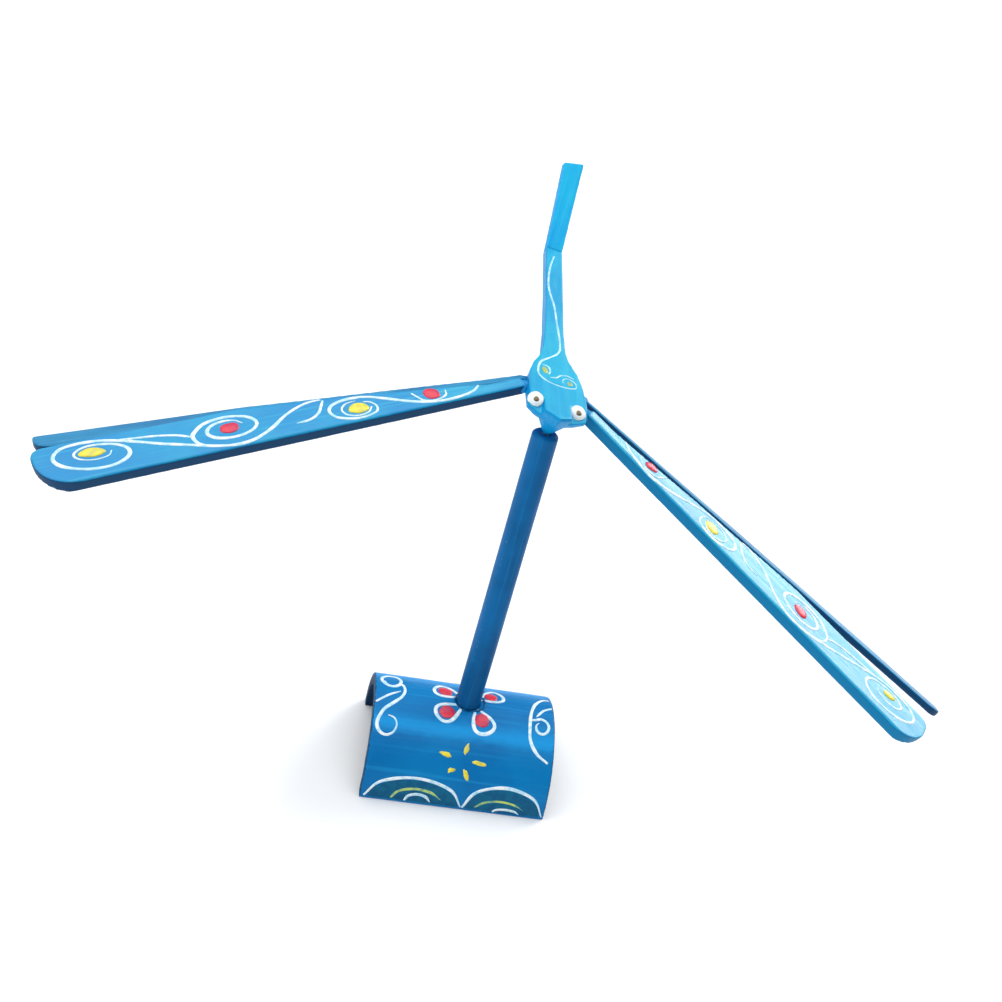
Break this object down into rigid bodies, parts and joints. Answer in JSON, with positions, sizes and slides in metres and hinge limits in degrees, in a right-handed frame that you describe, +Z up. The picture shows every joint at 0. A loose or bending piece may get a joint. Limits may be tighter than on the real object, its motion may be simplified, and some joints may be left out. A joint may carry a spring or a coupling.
{
  "type": "balancing dragonfly",
  "caption": "Hand-painted bamboo dragonfly that balances on its beak on a round post and turns freely, on a half-round bamboo base.",
  "frame": {"origin": "on the table plane, under the middle of the outline box of the whole object", "axes": "+X along the wings, towards the wings that hang lower; -Y is the front, where the head faces; +Z is up, along the spin axis"},
  "size_m": [0.2132, 0.1406, 0.1379],
  "materials": {
    "stand_paint": "gloss paint on bamboo",
    "post_paint": "gloss paint on bamboo",
    "body_paint": "gloss paint on bamboo",
    "wing_paint": "gloss paint on bamboo",
    "bare_bamboo": "bare bamboo",
    "tip_coat": "hard lacquer",
    "eye_white": "thick white paint",
    "pupil_brown": "dark brown paint",
    "decor_white": "raised white brush paint",
    "decor_red": "raised red brush paint",
    "decor_yellow": "raised yellow brush paint",
    "decor_olive": "raised olive brush paint",
    "decor_lime": "raised yellow-green brush paint",
    "decor_teal": "thin dark teal wash"
  },
  "bodies": {
    "stand": {"base": "stand_paint", "post": "post_paint"},
    "tip_outer": {"tip_varnish": "tip_coat"},
    "tip_inner": {"tip_paint": "tip_coat"},
    "tip_core": {"nib": "bare_bamboo"},
    "dragonfly": {"body": "body_paint", "tail_rear": "body_paint", "forewing_right": "wing_paint", "forewing_left": "wing_paint", "hindwing_right": "wing_paint", "hindwing_left": "wing_paint", "eye_right": "eye_white", "eye_left": "eye_white", "pupil_right": "pupil_brown", "pupil_left": "pupil_brown"}
  },
  "joints": [
    {"name": "lift_off", "type": "slide", "parent": "stand", "child": "tip_outer", "axis": [0, 0, 1], "range_m": [0, 0.05]},
    {"name": "spin", "type": "hinge", "parent": "tip_outer", "child": "tip_inner", "pos_m": [0.00167, -0.02509, 0.0984], "axis": [0, 0, 1], "continuous": true},
    {"name": "nod", "type": "hinge", "parent": "tip_inner", "child": "tip_core", "pos_m": [0.00167, -0.02509, 0.0984], "axis": [1, 0, 0], "range_deg": [-12, 12]},
    {"name": "sway", "type": "hinge", "parent": "tip_core", "child": "dragonfly", "pos_m": [0.00167, -0.02509, 0.0984], "axis": [0, 1, 0], "range_deg": [-12, 12]}
  ]
}
